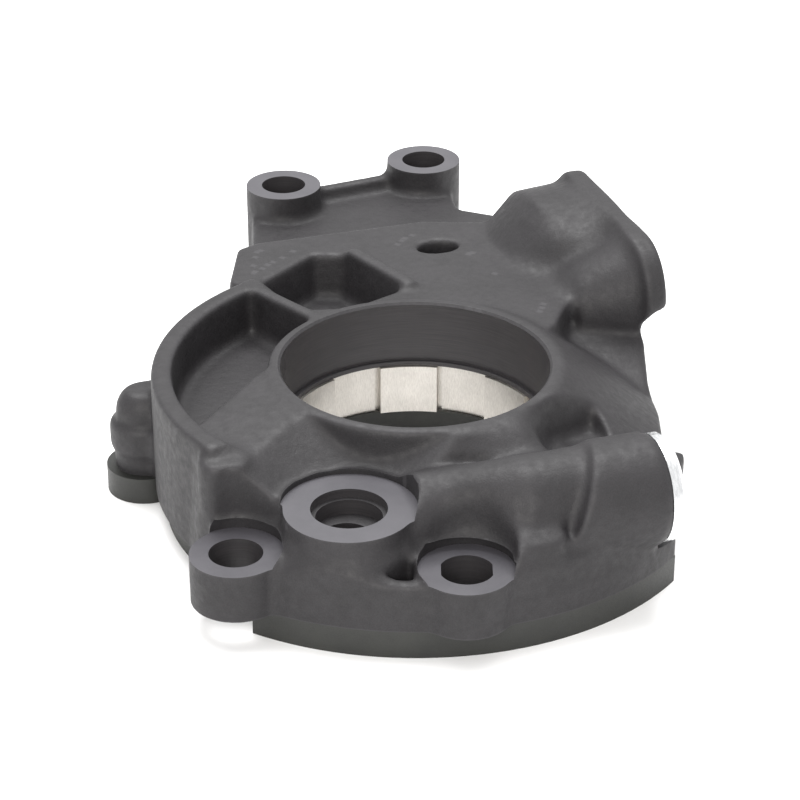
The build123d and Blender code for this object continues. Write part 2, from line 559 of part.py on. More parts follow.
def rear_cover():
    side = [(38, -40), (RIGHT_X - 2.5, RIGHT_Y), (48, -9), (50.4, 2), (52, 12), (52, 40), (44, 56), (-17, 60),
            (-22, 54)]
    plate = extrude(pump_outline(RIDGE_R - 1.9, side), amount=COVER_T)
    x, y = LUG_SCREW
    plate += column(x, y, LUG_R + 0.6, 0, COVER_T)
    plate -= column(0, 0, COVER_BORE_R, -1, THROUGH)
    plate -= kidneys(COVER_T - SHADOW_DEPTH, THROUGH, THROUGH, THROUGH)
    for place in (NEAR_LEFT, NEAR_RIGHT):
        plate -= column(*place, COVER_HOLE_R, -1, THROUGH)
    for x, y in screw_places():
        plate -= column(x, y, SCREW_R + SCREW_HOLE_GAP, -1, THROUGH)
        plate -= column(x, y, SCREW_HEAD_R + SCREW_HOLE_GAP, SCREW_SINK, SCREW_SINK + SCREW_HEAD_R - SCREW_R,
                        SCREW_R + SCREW_HOLE_GAP)
        plate -= column(x, y, SCREW_HEAD_R + SCREW_HOLE_GAP, -1, SCREW_SINK)
    for x, y in dowel_places():
        plate -= column(x, y, DOWEL_R + DOWEL_GAP, COVER_T - DOWEL_L / 2, THROUGH)
    return plate


def lobe_point(angle, phase):
    """A point of the inner rotor: the tooth-centre curve moved inwards by the tooth radius."""
    turns = LOBES + 1
    x = GEN_R * cos(angle) + ECC * cos(turns * angle + phase)
    y = GEN_R * sin(angle) + ECC * sin(turns * angle + phase)
    dx = -GEN_R * sin(angle) - turns * ECC * sin(turns * angle + phase)
    dy = GEN_R * cos(angle) + turns * ECC * cos(turns * angle + phase)
    size = hypot(dx, dy)
    inset = TOOTH_R + MESH_GAP
    return (x - inset * dy / size, y + inset * dx / size)


def inner_rotor():
    phase = radians(ECC_DEG)
    start = -phase / LOBES
    count = LOBES * LOBE_POINTS
    points = [lobe_point(start + 2 * pi * i / count, phase) for i in range(count)]
    profile = make_face(Spline(*points, periodic=True))
    body = extrude(Pos(0, 0, ROTOR_Z) * profile, amount=ROTOR_T)
    body -= column(0, 0, DRIVE_MINOR_R, 0, THROUGH)
    pitch = 360.0 / DRIVE_TEETH
    for i in range(DRIVE_TEETH):
        centre = DRIVE_PHASE_DEG + i * pitch
        half = DRIVE_TOOTH_DEG / 2
        body -= sector(DRIVE_MINOR_R - 2, DRIVE_MAJOR_R, centre + half, centre + pitch - half, 0, THROUGH)
        groove = GROOVE_W / 2 / DRIVE_MAJOR_R
        for side in (half + degrees(groove), pitch - half - degrees(groove)):
            slot = Box(4, GROOVE_W, THROUGH)
            reach = DRIVE_MAJOR_R + GROOVE_DEPTH - 2
            body -= Rot(0, 0, centre + side) * Pos(reach, 0, 0) * slot
    return body


def outer_rotor():
    body = column(0, 0, OUTER_R, ROTOR_Z, ROTOR_Z + ROTOR_T)
    ring = Circle(ROOT_R)
    step = 360.0 / (LOBES + 1)
    for i in range(LOBES + 1):
        ring -= Rot(0, 0, i * step) * Pos(GEN_R, 0) * Circle(TOOTH_R)
    body -= extrude(Pos(0, 0, ROTOR_Z - 1) * ring, amount=ROTOR_T + 2)
    return Pos(ECC_X, ECC_Y, 0) * body


PISTON_R = RELIEF_BORE_R - PISTON_GAP
PISTON_X = RELIEF_SEAT_X + PISTON_NOSE
SPRING_R = PISTON_R - PISTON_WALL - SPRING_GAP - SPRING_WIRE_R
SPRING_X = PISTON_X + PISTON_CROWN
PLUG_TIP_X = RELIEF_END_X - PLUG_THREAD_L


def relief_piston():
    body = along_x(RELIEF_Y, RELIEF_Z, PISTON_R, PISTON_X, PISTON_X + PISTON_L)
    body = chamfer(body.edges().sort_by(Axis.X)[0], 0.8)
    body -= along_x(RELIEF_Y, RELIEF_Z, PISTON_R - PISTON_WALL, SPRING_X, PISTON_X + PISTON_L + 1)
    for x in (PISTON_X + 4, PISTON_X + 6.5):
        groove = along_x(RELIEF_Y, RELIEF_Z, PISTON_R + 1, x, x + 0.8)
        groove -= along_x(RELIEF_Y, RELIEF_Z, PISTON_R - 0.4, x - 1, x + 2)
        body -= groove
    return body


def relief_spring():
    length = PLUG_TIP_X - SPRING_X
    pitch = (length - 2 * SPRING_WIRE_R) / SPRING_TURNS
    path = Helix(pitch, pitch * SPRING_TURNS, SPRING_R)
    wire = sweep(Plane(origin=path @ 0, z_dir=path % 0) * Circle(SPRING_WIRE_R), path=path, is_frenet=True)
    return Pos(SPRING_X + SPRING_WIRE_R, RELIEF_Y, RELIEF_Z) * Rot(0, 90, 0) * wire


def relief_plug():
    body = along_x(RELIEF_Y, RELIEF_Z, PLUG_THREAD_R, PLUG_TIP_X, RELIEF_END_X)
    flange_bar = along_x(RELIEF_Y, RELIEF_Z, PLUG_FLANGE_R, RELIEF_END_X, RELIEF_END_X + PLUG_FLANGE_T)
    body += chamfer(flange_bar.edges().sort_by(Axis.X)[-1], 0.7)
    hexagon = RegularPolygon(PLUG_HEX / 2, 6, major_radius=False)
    socket = Plane(origin=(RELIEF_END_X + PLUG_FLANGE_T + 1, RELIEF_Y, RELIEF_Z), z_dir=(1, 0, 0)) * hexagon
    return body - extrude(socket, amount=-(PLUG_HEX_DEPTH + 1))


def relief_plug_seal():
    ring = Rot(0, 90, 0) * Torus(SEAL_RING_R, SEAL_CORD_R)
    return Pos(RELIEF_END_X - SEAL_CORD_R - SEAL_GAP / 2, RELIEF_Y, RELIEF_Z) * ring


def cover_screws():
    group = []
    for x, y in screw_places():
        head = column(x, y, SCREW_HEAD_R, SCREW_SINK, SCREW_SINK + SCREW_HEAD_R - SCREW_R, SCREW_R)
        screw = head + column(x, y, SCREW_R, SCREW_SINK + 1, SCREW_L)
        socket = extrude(RegularPolygon(SCREW_SOCKET_R, 6), amount=SCREW_SINK + SCREW_SOCKET_DEPTH)
        group.append(screw - Pos(x, y, 0) * socket)
    return Compound(children=group)


def cover_dowels():
    low = COVER_T - DOWEL_L / 2
    group = []
    for x, y in dowel_places():
        pin = column(x, y, DOWEL_R, low, low + DOWEL_L)
        group.append(chamfer(pin.edges().filter_by(GeomType.CIRCLE), 0.4))
    return Compound(children=group)


NODES = {
    "housing": housing,
    "rear_cover": rear_cover,
    "inner_rotor": inner_rotor,
    "outer_rotor": outer_rotor,
    "relief_piston": relief_piston,
    "relief_spring": relief_spring,
    "relief_plug": relief_plug,
    "relief_plug_seal": relief_plug_seal,
    "cover_screws": cover_screws,
    "cover_dowels": cover_dowels,
}

for name, make in NODES.items():
    export_step(make(), f"parts/{name}.step")
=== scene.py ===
import math

import bmesh
import bpy
import numpy as np
import openvdb
from mathutils import Matrix, Vector


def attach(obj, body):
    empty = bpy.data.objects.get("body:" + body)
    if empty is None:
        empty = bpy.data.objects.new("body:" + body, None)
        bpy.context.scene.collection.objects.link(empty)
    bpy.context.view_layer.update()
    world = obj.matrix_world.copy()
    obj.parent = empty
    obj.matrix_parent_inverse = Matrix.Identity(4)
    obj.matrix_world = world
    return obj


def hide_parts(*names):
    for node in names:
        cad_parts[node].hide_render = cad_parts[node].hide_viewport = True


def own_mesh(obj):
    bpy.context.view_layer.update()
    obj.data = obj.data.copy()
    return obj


# A crank-driven oil pump lying on its rear cover, in the frame's own axes. The scene is in metres.
# The housing's distance field, its cutters and the sizes named below are in millimetres.

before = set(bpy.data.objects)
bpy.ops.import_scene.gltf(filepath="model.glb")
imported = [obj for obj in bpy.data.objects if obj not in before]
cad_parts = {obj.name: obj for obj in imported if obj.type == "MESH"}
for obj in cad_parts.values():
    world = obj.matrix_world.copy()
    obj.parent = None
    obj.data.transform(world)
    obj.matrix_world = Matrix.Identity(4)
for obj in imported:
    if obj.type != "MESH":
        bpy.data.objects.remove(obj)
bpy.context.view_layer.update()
MM = 0.001

# ---- camera: seen from the outlet side, turned 18 degrees and looking down 28 degrees ----
CAMERA_AT = (-0.1372, -0.4127, 0.2527)     # m
CAMERA_TURN_DEG = -18.0
CAMERA_DOWN_DEG = 28.0
CAMERA_LENS, CAMERA_SENSOR = 112.5, 36.0

# ---- housing skin ----
VOXEL = 0.5               # mm, step of the housing's distance field
BAND = 10                 # steps over which the distance field is exact
CAST_FILLET = 0.62        # mm, softness of the casting's outer edges
ROOT_FILLET = 1.0         # mm, radius that fills the casting's inner corners
BROAD_FILLET = 4.5        # mm, the same where the casting flows from one form to the next
BROAD_SOFT = 1.9          # mm, softness of the edges there
PAD = 11                  # empty steps round the field
CUTTER_SIDES = 160        # facets round a cutter
SHARP_DEG = 32            # edges sharper than this stay sharp

# ---- machined features, mm ----
REAR_Z, ROOF_Z, RIM_Z = 5.5, 16.0, 30.0
NEAR_LEFT, NEAR_RIGHT = (-45.7, -34.6), (-7.7, -53.0)
FAR_LEFT, FAR_RIGHT = (2.3, 103.9), (37.9, 108.3)
PORT = (-24.9, -37.1)
NEAR_TOP, FAR_TOP, PORT_TOP = 15.0, 25.0, 22.0
BOSS_R, PORT_BOSS_R = 8.6, 12.1
BOLT_R, BOLT_FLAT = 5.0, 4.65
BORE_R, LIP_R, LIP_Z = 26.4, 25.6, 16.9
BORE_CHAMFER = 0.5
ROTOR_AT, POCKET_R = (2.718994, 1.267888), 41.860235
PORT_R, PORT_SEAT_R, PORT_SEAT = 6.2, 7.1, 1.8
RELIEF = (-45.6006, 21.0)         # y, z of the relief valve's axis
RELIEF_SEAT_X, RELIEF_END_X = 5.0, 31.2
RELIEF_R, THREAD_R, THREAD_X = 5.5, 7.02, 23.0
SEAL_SEAT_R, SEAL_SEAT_X = 8.84, 29.38
PICKUP, PICKUP_FACE_X = (46.0, 25.0), 58.3
PICKUP_R, PICKUP_SEAT_X = 9.5, 49.8
PICKUP_INNER_R, PICKUP_END_X = 8.5, 41.3
PICKUP_SCREW, TAP_R, TAP_X = (22.0, 28.5), 2.5, 44.3
PLUG_ROOM_R = 11.6                # facing cut round the relief plug
BOLT_FLAT_TURN_DEG = -18
BOSS_FACING, PORT_FACING = 0.35, 0.6      # how far a facing cut reaches past its boss
BOSS_FACING_H, PORT_FACING_H = 2.4, 4.0   # and how far up
ABOVE = 60.0              # cutters reach this far out
WIDE_R = 200              # a cutter wider than the pump
BOSSES = ((NEAR_LEFT, NEAR_TOP), (NEAR_RIGHT, NEAR_TOP),
          (FAR_LEFT, FAR_TOP), (FAR_RIGHT, FAR_TOP))

# ---- soft forms of the casting, mm and degrees round the crank axis ----
GROOVE_R, GROOVE_HALF, GROOVE_FLOOR = 53.4, 2.1, 10.0    # hollow in front of the outlet port
GROOVE_FROM_DEG, GROOVE_TO_DEG = 226.5, 251.5
GROOVE_CLEAR = 1.2                # casting left round the port's boss
RIDGE_R = 51.6                    # outer wall of the left ridge
LUG = (-50.27, 20.52)             # cover lug on that wall
LUG_R, LUG_TOP = 5.4, 17.5
SHOULDER_R, SHOULDER_Z = 10.5, 15.6
PASSAGE_R = 39.0                  # reach of the rotor ports' pockets
# places where the forms flow together: centre, full effect within, none beyond
FLOWING = (((47, 33, 33), 13, 24), ((12, -30, 28), 6, 13), ((-40, -20, 26), 3, 9))
SOFTENED = (((-4, -46, 25), 6, 13), ((12, -31, 28), 6, 13), ((45, 33, 33), 9, 16))

# finish of a cut face: 1 milled flat, 2 turned
FACED = [(centre, BOSS_R + 1, top) for centre, top in BOSSES] + [(PORT, PORT_BOSS_R + 1, PORT_TOP)]
BORED = [((0, 0), BORE_R), ((0, 0), LIP_R), (PORT, PORT_R), (PORT, PORT_SEAT_R)]
BORED += [(centre, BOLT_R) for centre, top in BOSSES]


# ---------------------------------------------------------------- materials
def new_material(name):
    material = bpy.data.materials.new(name)
    material.use_nodes = True
    tree = material.node_tree
    return material, tree, tree.nodes["Principled BSDF"]


def node(tree, kind, **inputs):
    made = tree.nodes.new(kind)
    for key, value in inputs.items():
        made.inputs[key.replace("_", " ")].default_value = value
    return made


def mm_coordinates(tree, stretch=(1, 1, 1)):
    """Object coordinates in millimetres, stretched for grain."""
    coordinates = tree.nodes.new("ShaderNodeTexCoord")
    mapping = tree.nodes.new("ShaderNodeMapping")
    mapping.inputs["Scale"].default_value = [1000 * s for s in stretch]
    tree.links.new(coordinates.outputs["Object"], mapping.inputs["Vector"])
    return mapping.outputs["Vector"]


def noise(tree, vector, size_mm, detail=3.0, roughness=0.5):
    made = node(tree, "ShaderNodeTexNoise", Scale=1.0 / size_mm, Detail=detail, Roughness=roughness)
    tree.links.new(vector, made.inputs["Vector"])
    return made.outputs["Fac"]


def ramp(tree, value, low, high, colours):
    made = tree.nodes.new("ShaderNodeValToRGB")
    made.color_ramp.elements[0].position = low
    made.color_ramp.elements[1].position = high
    for element, colour in zip(made.color_ramp.elements, colours):
        element.color = (*colour, 1)
    tree.links.new(value, made.inputs["Fac"])
    return made.outputs["Color"]


def remap(tree, value, low, high, to_low, to_high):
    made = tree.nodes.new("ShaderNodeMapRange")
    numbers = {"From Min": low, "From Max": high, "To Min": to_low, "To Max": to_high}
    for key, number in numbers.items():
        made.inputs[key].default_value = number
    tree.links.new(value, made.inputs["Value"])
    return made.outputs["Result"]


def mix(tree, factor, a, b, blend="MIX"):
    made = tree.nodes.new("ShaderNodeMix")
    made.data_type = "RGBA"
    made.blend_type = blend
    for value, socket in ((factor, 0), (a, 6), (b, 7)):
        if isinstance(value, bpy.types.NodeSocket):
            tree.links.new(value, made.inputs[socket])
        elif socket == 0:
            made.inputs[socket].default_value = value
        else:
            made.inputs[socket].default_value = (*value, 1)
    return made.outputs[2]


def bumps(tree, shader, layers):
    """Stacked bump layers, each (height socket, depth in mm)."""
    last = None
    for height, depth in layers:
        made = node(tree, "ShaderNodeBump", Strength=1.0, Distance=depth * MM)
        tree.links.new(height, made.inputs["Height"])
        if last is not None:
            tree.links.new(last, made.inputs["Normal"])
        last = made.outputs["Normal"]
    tree.links.new(last, shader.inputs["Normal"])


def casting_material():
    """Black hard-anodised die casting: fine grain, faint mottling, rubbed edges."""
    material, tree, shader = new_material("casting_black_anodised")
    vector = mm_coordinates(tree)
    grain = noise(tree, vector, 0.28, 2.0, 0.6)
    skin = noise(tree, vector, 1.6, 4.0, 0.55)
    cloud = noise(tree, vector, 9.0, 3.0, 0.6)
    base = ramp(tree, cloud, 0.32, 0.7, [(0.0150, 0.0138, 0.0152), (0.0205, 0.0188, 0.0208)])
    speckle = remap(tree, grain, 0.35, 0.75, 0.82, 1.25)
    base = mix(tree, 1.0, base, speckle, "MULTIPLY")
    geometry = tree.nodes.new("ShaderNodeNewGeometry")
    edge = remap(tree, geometry.outputs["Pointiness"], 0.512, 0.56, 0.0, 0.55)
    base = mix(tree, edge, base, (0.050, 0.048, 0.052))
    tree.links.new(base, shader.inputs["Base Color"])
    tree.links.new(remap(tree, skin, 0.3, 0.7, 0.50, 0.66), shader.inputs["Roughness"])
    shader.inputs["Metallic"].default_value = 0.0
    shader.inputs["Specular IOR Level"].default_value = 0.42
    bumps(tree, shader, [(skin, 0.10), (grain, 0.035)])
    return material


def machined_material():
    """Machined faces under the same black anodising: smoother and lighter."""
    material, tree, shader = new_material("machined_black_anodised")
    vector = mm_coordinates(tree)
    fine = noise(tree, vector, 0.22, 2.0, 0.5)
    cloud = noise(tree, vector, 6.0, 3.0, 0.5)
    base = ramp(tree, cloud, 0.3, 0.7, [(0.060, 0.058, 0.066), (0.074, 0.071, 0.080)])
    base = mix(tree, 1.0, base, remap(tree, fine, 0.3, 0.7, 0.93, 1.07), "MULTIPLY")
    tree.links.new(base, shader.inputs["Base Color"])
    tree.links.new(remap(tree, fine, 0.3, 0.7, 0.36, 0.46), shader.inputs["Roughness"])
    bumps(tree, shader, [(fine, 0.008)])
    return material


def bore_material():
    """Turned bores under the anodising: dark, with faint turning lines round Z."""
    material, tree, shader = new_material("turned_black_anodised")
    vector = mm_coordinates(tree, (0.12, 0.12, 5.0))
    lines = noise(tree, vector, 1.0, 3.0, 0.6)
    base = ramp(tree, lines, 0.3, 0.75, [(0.026, 0.024, 0.026), (0.044, 0.041, 0.043)])
    tree.links.new(base, shader.inputs["Base Color"])
    shader.inputs["Roughness"].default_value = 0.42
    bumps(tree, shader, [(lines, 0.01)])
    return material


def cover_material():
    """The rear cover's black, smoother than the casting."""
    material, tree, shader = new_material("cover_black")
    vector = mm_coordinates(tree)
    fine = noise(tree, vector, 0.3, 3.0, 0.6)
    cloud = noise(tree, vector, 7.0, 3.0, 0.6)
    base = ramp(tree, cloud, 0.3, 0.7, [(0.0120, 0.0125, 0.0110), (0.0185, 0.0190, 0.0165)])
    tree.links.new(base, shader.inputs["Base Color"])
    tree.links.new(remap(tree, fine, 0.3, 0.7, 0.42, 0.58), shader.inputs["Roughness"])
    bumps(tree, shader, [(fine, 0.02)])
    return material


def steel_material(name, low, high, roughness, stretch, depth):
    """Ground or turned steel with grain stretched one way."""
    material, tree, shader = new_material(name)
    vector = mm_coordinates(tree, stretch)
    grain = noise(tree, vector, 0.4, 4.0, 0.65)
    cloud = noise(tree, mm_coordinates(tree), 5.0, 3.0, 0.5)
    base = ramp(tree, grain, 0.25, 0.75, [low, high])
    base = mix(tree, 1.0, base, remap(tree, cloud, 0.3, 0.7, 0.92, 1.06), "MULTIPLY")
    tree.links.new(base, shader.inputs["Base Color"])
    shader.inputs["Metallic"].default_value = 1.0
    tree.links.new(remap(tree, grain, 0.3, 0.7, roughness - 0.06, roughness + 0.1),
                   shader.inputs["Roughness"])
    bumps(tree, shader, [(grain, depth)])
    return material


def rubber_material():
    material, tree, shader = new_material("seal_rubber")
    vector = mm_coordinates(tree)
    fine = noise(tree, vector, 0.3, 2.0, 0.5)
    tree.links.new(ramp(tree, fine, 0.3, 0.7, [(0.012, 0.012, 0.012), (0.02, 0.02, 0.02)]),
                   shader.inputs["Base Color"])
    shader.inputs["Roughness"].default_value = 0.6
    bumps(tree, shader, [(fine, 0.01)])
    return material


def dress(name, material):
    """Gives a piece of the frame its material and shading."""
    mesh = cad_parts[name].data
    mesh.materials.clear()
    mesh.materials.append(material)
    smooth_by_angle(mesh)


def smooth_by_angle(mesh):
    """Smooth shading, with edges sharper than the angle kept sharp."""
    work = bmesh.new()
    work.from_mesh(mesh)
    limit = math.radians(SHARP_DEG)
    for face in work.faces:
        face.smooth = True
    for edge in work.edges:
        edge.smooth = len(edge.link_faces) == 2 and edge.calc_face_angle(0) < limit
    work.to_mesh(mesh)
    work.free()


# ---------------------------------------------------------------- the housing's skin
def field_of(points, triangles, quads, low, high):
    """Signed distance in mm on a grid, negative inside."""
    transform = openvdb.createLinearTransform(voxelSize=VOXEL)
    grid = openvdb.FloatGrid.createLevelSetFromPolygons(
        points, triangles=triangles, quads=quads, transform=transform, halfWidth=BAND)
    field = np.zeros(tuple(high - low), np.float32)
    grid.copyToArray(field, ijk=tuple(int(v) for v in low))
    return field


def surface_of(field, low, level=0.0):
    """Corners in mm and quads of the field's surface at a level."""
    grid = openvdb.FloatGrid(BAND * VOXEL)
    grid.copyFromArray(field, ijk=tuple(int(v) for v in low))
    grid.transform = openvdb.createLinearTransform(voxelSize=VOXEL)
    grid.gridClass = openvdb.GridClass.LEVEL_SET
    return grid.convertToQuads(isovalue=level)


def closed(field, low, high, radius):
    """The field with its inner corners filled to a radius: grown by it, then shrunk by it."""
    corners, quads = surface_of(field, low, radius)
    return field_of(corners, None, quads, low, high) + radius


def blurred(field, size_mm):
    """The field averaged over a Gaussian, which rounds edges."""
    sigma = size_mm / VOXEL
    reach = int(math.ceil(3 * sigma))
    weights = np.exp(-0.5 * (np.arange(-reach, reach + 1) / sigma) ** 2)
    weights = (weights / weights.sum()).astype(np.float32)
    for axis in range(3):
        padding = [(reach, reach) if a == axis else (0, 0) for a in range(3)]
        padded = np.pad(field, padding, mode="edge")
        total = np.zeros_like(field)
        for i, weight in enumerate(weights):
            part = [slice(None)] * 3
            part[axis] = slice(i, i + field.shape[axis])
            total += weight * padded[tuple(part)]
        field = total
    return field


class Space:
    """The grid's coordinates in mm, and solids measured on them."""

    def __init__(self, low, high):
        axes = [np.arange(low[i], high[i], dtype=np.float32) * VOXEL for i in range(3)]
        self.x, self.y, self.z = np.meshgrid(*axes, indexing="ij", sparse=True)

    def bar(self, axis, centre, radius, start, end):
        """A round bar along an axis (0 for X, 2 for Z)."""
        along = (self.x, self.y, self.z)[axis]
        across = [c for i, c in enumerate((self.x, self.y, self.z)) if i != axis]
        radial = np.sqrt((across[0] - centre[0]) ** 2 + (across[1] - centre[1]) ** 2) - radius
        return np.maximum(radial, np.maximum(start - along, along - end))

    def box(self, low, high):
        """A square box between two corners."""
        sides = [np.maximum(a - c, c - b) for a, c, b in zip(low, (self.x, self.y, self.z), high)]
        return np.maximum(np.maximum(sides[0], sides[1]), sides[2])

    def capsule(self, start, end, radius):
        """A round-ended bar from one point to another."""
        run = [b - a for a, b in zip(start, end)]
        length = sum(r * r for r in run)
        from_start = [c - a for c, a in zip((self.x, self.y, self.z), start)]
        share = sum(d * r for d, r in zip(from_start, run)) / length
        share = np.clip(share, 0, 1)
        off = [d - share * r for d, r in zip(from_start, run)]
        return np.sqrt(off[0] ** 2 + off[1] ** 2 + off[2] ** 2) - radius

    def near(self, centre, inner, outer):
        """1 within the inner distance of a point, falling smoothly to 0 at the outer one."""
        distance = np.sqrt(sum((c - p) ** 2 for c, p in zip((self.x, self.y, self.z), centre)))
        share = np.clip((outer - distance) / (outer - inner), 0, 1)
        return share * share * (3 - 2 * share)


def joined(a, b, radius):
    """Two solids run together with a fillet of about the radius."""
    share = np.maximum(radius - np.abs(a - b), 0) / radius
    return np.minimum(a, b) - share * share * radius / 4


def least(made):
    """Several solids as one."""
    return np.minimum.reduce(np.broadcast_arrays(*made))


def passages(space):
    """Solids that cover the oil passages inside the casting."""
    wide, floor = (2, (0, 0), PASSAGE_R), ROOF_Z - 1
    return least([
        space.bar(*wide, floor, 18.4),
        np.maximum(space.bar(*wide, floor, 19.3), space.box((-40, -40, 0), (20, -12, 60))),
        np.maximum(space.bar(*wide, floor, 23.2), space.box((2, 12, 0), (34, 40, 60))),
        space.capsule((24, 26, 19.5), (45, 42.6, 19.5), 4.0),
        space.capsule((14, 32, 19.5), (42, 49, 19.5), 4.0),
        space.capsule((20, 30, 19.5), (43, 46, 19.5), 5.0),
        space.capsule((-20, -30, 16.6), (*PORT, 16.6), 3.4),
    ])


def machined_space(space):
    """Solids that fill the machined holes, which are cut crisply afterwards."""
    made = [
        space.bar(2, (0, 0), BORE_R + 1.0, REAR_Z - 4, RIM_Z - 0.1),
        space.bar(2, ROTOR_AT, POCKET_R + 0.6, REAR_Z - 4, ROOF_Z - 0.5),
        space.bar(0, PICKUP, PICKUP_R + 1, PICKUP_END_X - 1, PICKUP_FACE_X + 4),
        space.bar(0, RELIEF, RELIEF_R + 1, RELIEF_SEAT_X - 1, RELIEF_END_X + 4),
        space.bar(0, RELIEF, SEAL_SEAT_R + 0.6, THREAD_X, RELIEF_END_X + 4),
        space.bar(0, PICKUP_SCREW, TAP_R + 1, TAP_X - 1, PICKUP_FACE_X + 4),
        space.bar(2, PORT, PORT_SEAT_R + 1, ROOF_Z + 1.2, PORT_TOP + 1.6),
        space.bar(2, PORT, PORT_BOSS_R, ROOF_Z, PORT_TOP + 1.6),
    ]
    made += [space.bar(2, centre, BOSS_R, REAR_Z - 4, top + 1.6) for centre, top in BOSSES]
    return least(made)


def trench(space, radius, half, start_deg, end_deg, floor):
    """A groove that follows an arc round the crank axis, open above."""
    angle = np.degrees(np.arctan2(space.y, space.x)) % 360
    across = np.abs(np.sqrt(space.x ** 2 + space.y ** 2) - radius) - half
    along = np.maximum(start_deg - angle, angle - end_deg) * math.radians(radius)
    return np.maximum(np.maximum(across, along), floor - space.z)


def turned_into(field, other, space, places):
    """The field, changed for another one near each place."""
    for centre, inner, outer in places:
        field = field + space.near(centre, inner, outer) * (other - field)
    return field


def sculpted(field, space, low, high):
    """The casting's broad soft forms, run into one another."""
    groove = trench(space, GROOVE_R, GROOVE_HALF, GROOVE_FROM_DEG, GROOVE_TO_DEG, GROOVE_FLOOR)
    groove = np.maximum(groove, -space.bar(2, PORT, PORT_BOSS_R + GROOVE_CLEAR, 0, ABOVE))
    field = np.maximum(field, -groove)
    lobe = space.capsule((*LUG, 10), (*LUG, LUG_TOP), LUG_R)
    lobe = joined(lobe, space.capsule((-49, 20.5, 17), (-44, 19.5, 20), 5.0), 2.0)
    shoulder = np.maximum(space.bar(2, LUG, SHOULDER_R, SHOULDER_Z, 40), -lobe)
    outside = RIDGE_R - np.sqrt(space.x ** 2 + space.y ** 2)
    field = np.maximum(field, -np.maximum(shoulder, outside))
    wide = closed(field, low, high, BROAD_FILLET)
    field = turned_into(field, np.minimum(wide, field), space, FLOWING)
    soft = blurred(field, BROAD_SOFT)
    return turned_into(blurred(field, CAST_FILLET), soft, space, SOFTENED)


def cutter(radius, centre, low, high, along="Z", top_radius=None):
    """A machining cutter along Z at (x, y), or along X at (y, z), from low to high."""
    top_radius = radius if top_radius is None else top_radius
    mesh = bpy.data.meshes.new("cutter")
    work = bmesh.new()
    bmesh.ops.create_cone(work, cap_ends=True, segments=CUTTER_SIDES, radius1=radius * MM,
                          radius2=top_radius * MM, depth=(high - low) * MM)
    work.to_mesh(mesh)
    work.free()
    made = bpy.data.objects.new("cutter", mesh)
    middle = (low + high) / 2
    if along == "Z":
        made.matrix_world = Matrix.Translation(Vector((*centre, middle)) * MM)
    else:
        turn = Matrix.Rotation(math.radians(90), 4, "Y")
        made.matrix_world = Matrix.Translation(Vector((middle, *centre)) * MM) @ turn
    return made


def flatted_cutter(radius, flat, centre, turn_deg, low, high):
    """A round cutter with two flats, for the double-D bolt hole."""
    mesh = bpy.data.meshes.new("cutter")
    work = bmesh.new()
    half = math.acos(flat / radius)
    steps = CUTTER_SIDES // 4
    angles = []
    for side in (math.pi / 2, -math.pi / 2):
        spread = math.pi / 2 - half
        angles += [side - spread + 2 * spread * i / steps for i in range(steps + 1)]
    turn = math.radians(turn_deg)
    ring = []
    for angle in angles:
        x = centre[0] + radius * math.cos(angle + turn)
        y = centre[1] + radius * math.sin(angle + turn)
        ring.append(work.verts.new((x * MM, y * MM, low * MM)))
    face = work.faces.new(ring)
    moved = bmesh.ops.extrude_face_region(work, geom=[face])["geom"]
    lifted = [v for v in moved if isinstance(v, bmesh.types.BMVert)]
    bmesh.ops.translate(work, vec=(0, 0, (high - low) * MM), verts=lifted)
    bmesh.ops.recalc_face_normals(work, faces=work.faces)
    work.to_mesh(mesh)
    work.free()
    return bpy.data.objects.new("cutter", mesh)


def machined_cuts():
    """Every cut the machine shop makes in the casting."""
    cuts = [
        cutter(LIP_R, (0, 0), 0, ABOVE),
        cutter(BORE_R, (0, 0), LIP_Z, ABOVE),
        cutter(BORE_R, (0, 0), RIM_Z - BORE_CHAMFER, RIM_Z + 1,
               top_radius=BORE_R + BORE_CHAMFER + 1),
        cutter(POCKET_R, ROTOR_AT, 0, ROOF_Z + 0.02),
        cutter(PORT_R, PORT, ROOF_Z + 1.2, ABOVE),
        cutter(PORT_R - 1.6, (PORT[0] - 1, PORT[1] - 1.5), 13.2, ABOVE),
        cutter(PORT_SEAT_R, PORT, PORT_TOP - PORT_SEAT, ABOVE),
        cutter(PORT_BOSS_R + PORT_FACING, PORT, PORT_TOP, PORT_TOP + PORT_FACING_H),
        cutter(WIDE_R, (0, 0), -40, REAR_Z),
        cutter(PICKUP_R, PICKUP, PICKUP_SEAT_X, ABOVE + 20, "X"),
        cutter(PICKUP_INNER_R, PICKUP, PICKUP_END_X, ABOVE + 20, "X"),
        cutter(TAP_R, PICKUP_SCREW, TAP_X, ABOVE + 20, "X"),
        cutter(100, PICKUP, PICKUP_FACE_X, ABOVE + 20, "X"),
        cutter(RELIEF_R, RELIEF, RELIEF_SEAT_X, ABOVE, "X"),
        cutter(THREAD_R, RELIEF, THREAD_X, ABOVE, "X"),
        cutter(SEAL_SEAT_R, RELIEF, SEAL_SEAT_X, ABOVE, "X"),
        cutter(PLUG_ROOM_R, RELIEF, RELIEF_END_X, ABOVE, "X"),
        flatted_cutter(BOLT_R, BOLT_FLAT, NEAR_RIGHT, BOLT_FLAT_TURN_DEG, 0, ABOVE),
    ]
    for centre, top in BOSSES:
        cuts.append(cutter(BOSS_R + BOSS_FACING, centre, top, top + BOSS_FACING_H))
        if centre != NEAR_RIGHT:
            cuts.append(cutter(BOLT_R, centre, 0, ABOVE))
    return cuts


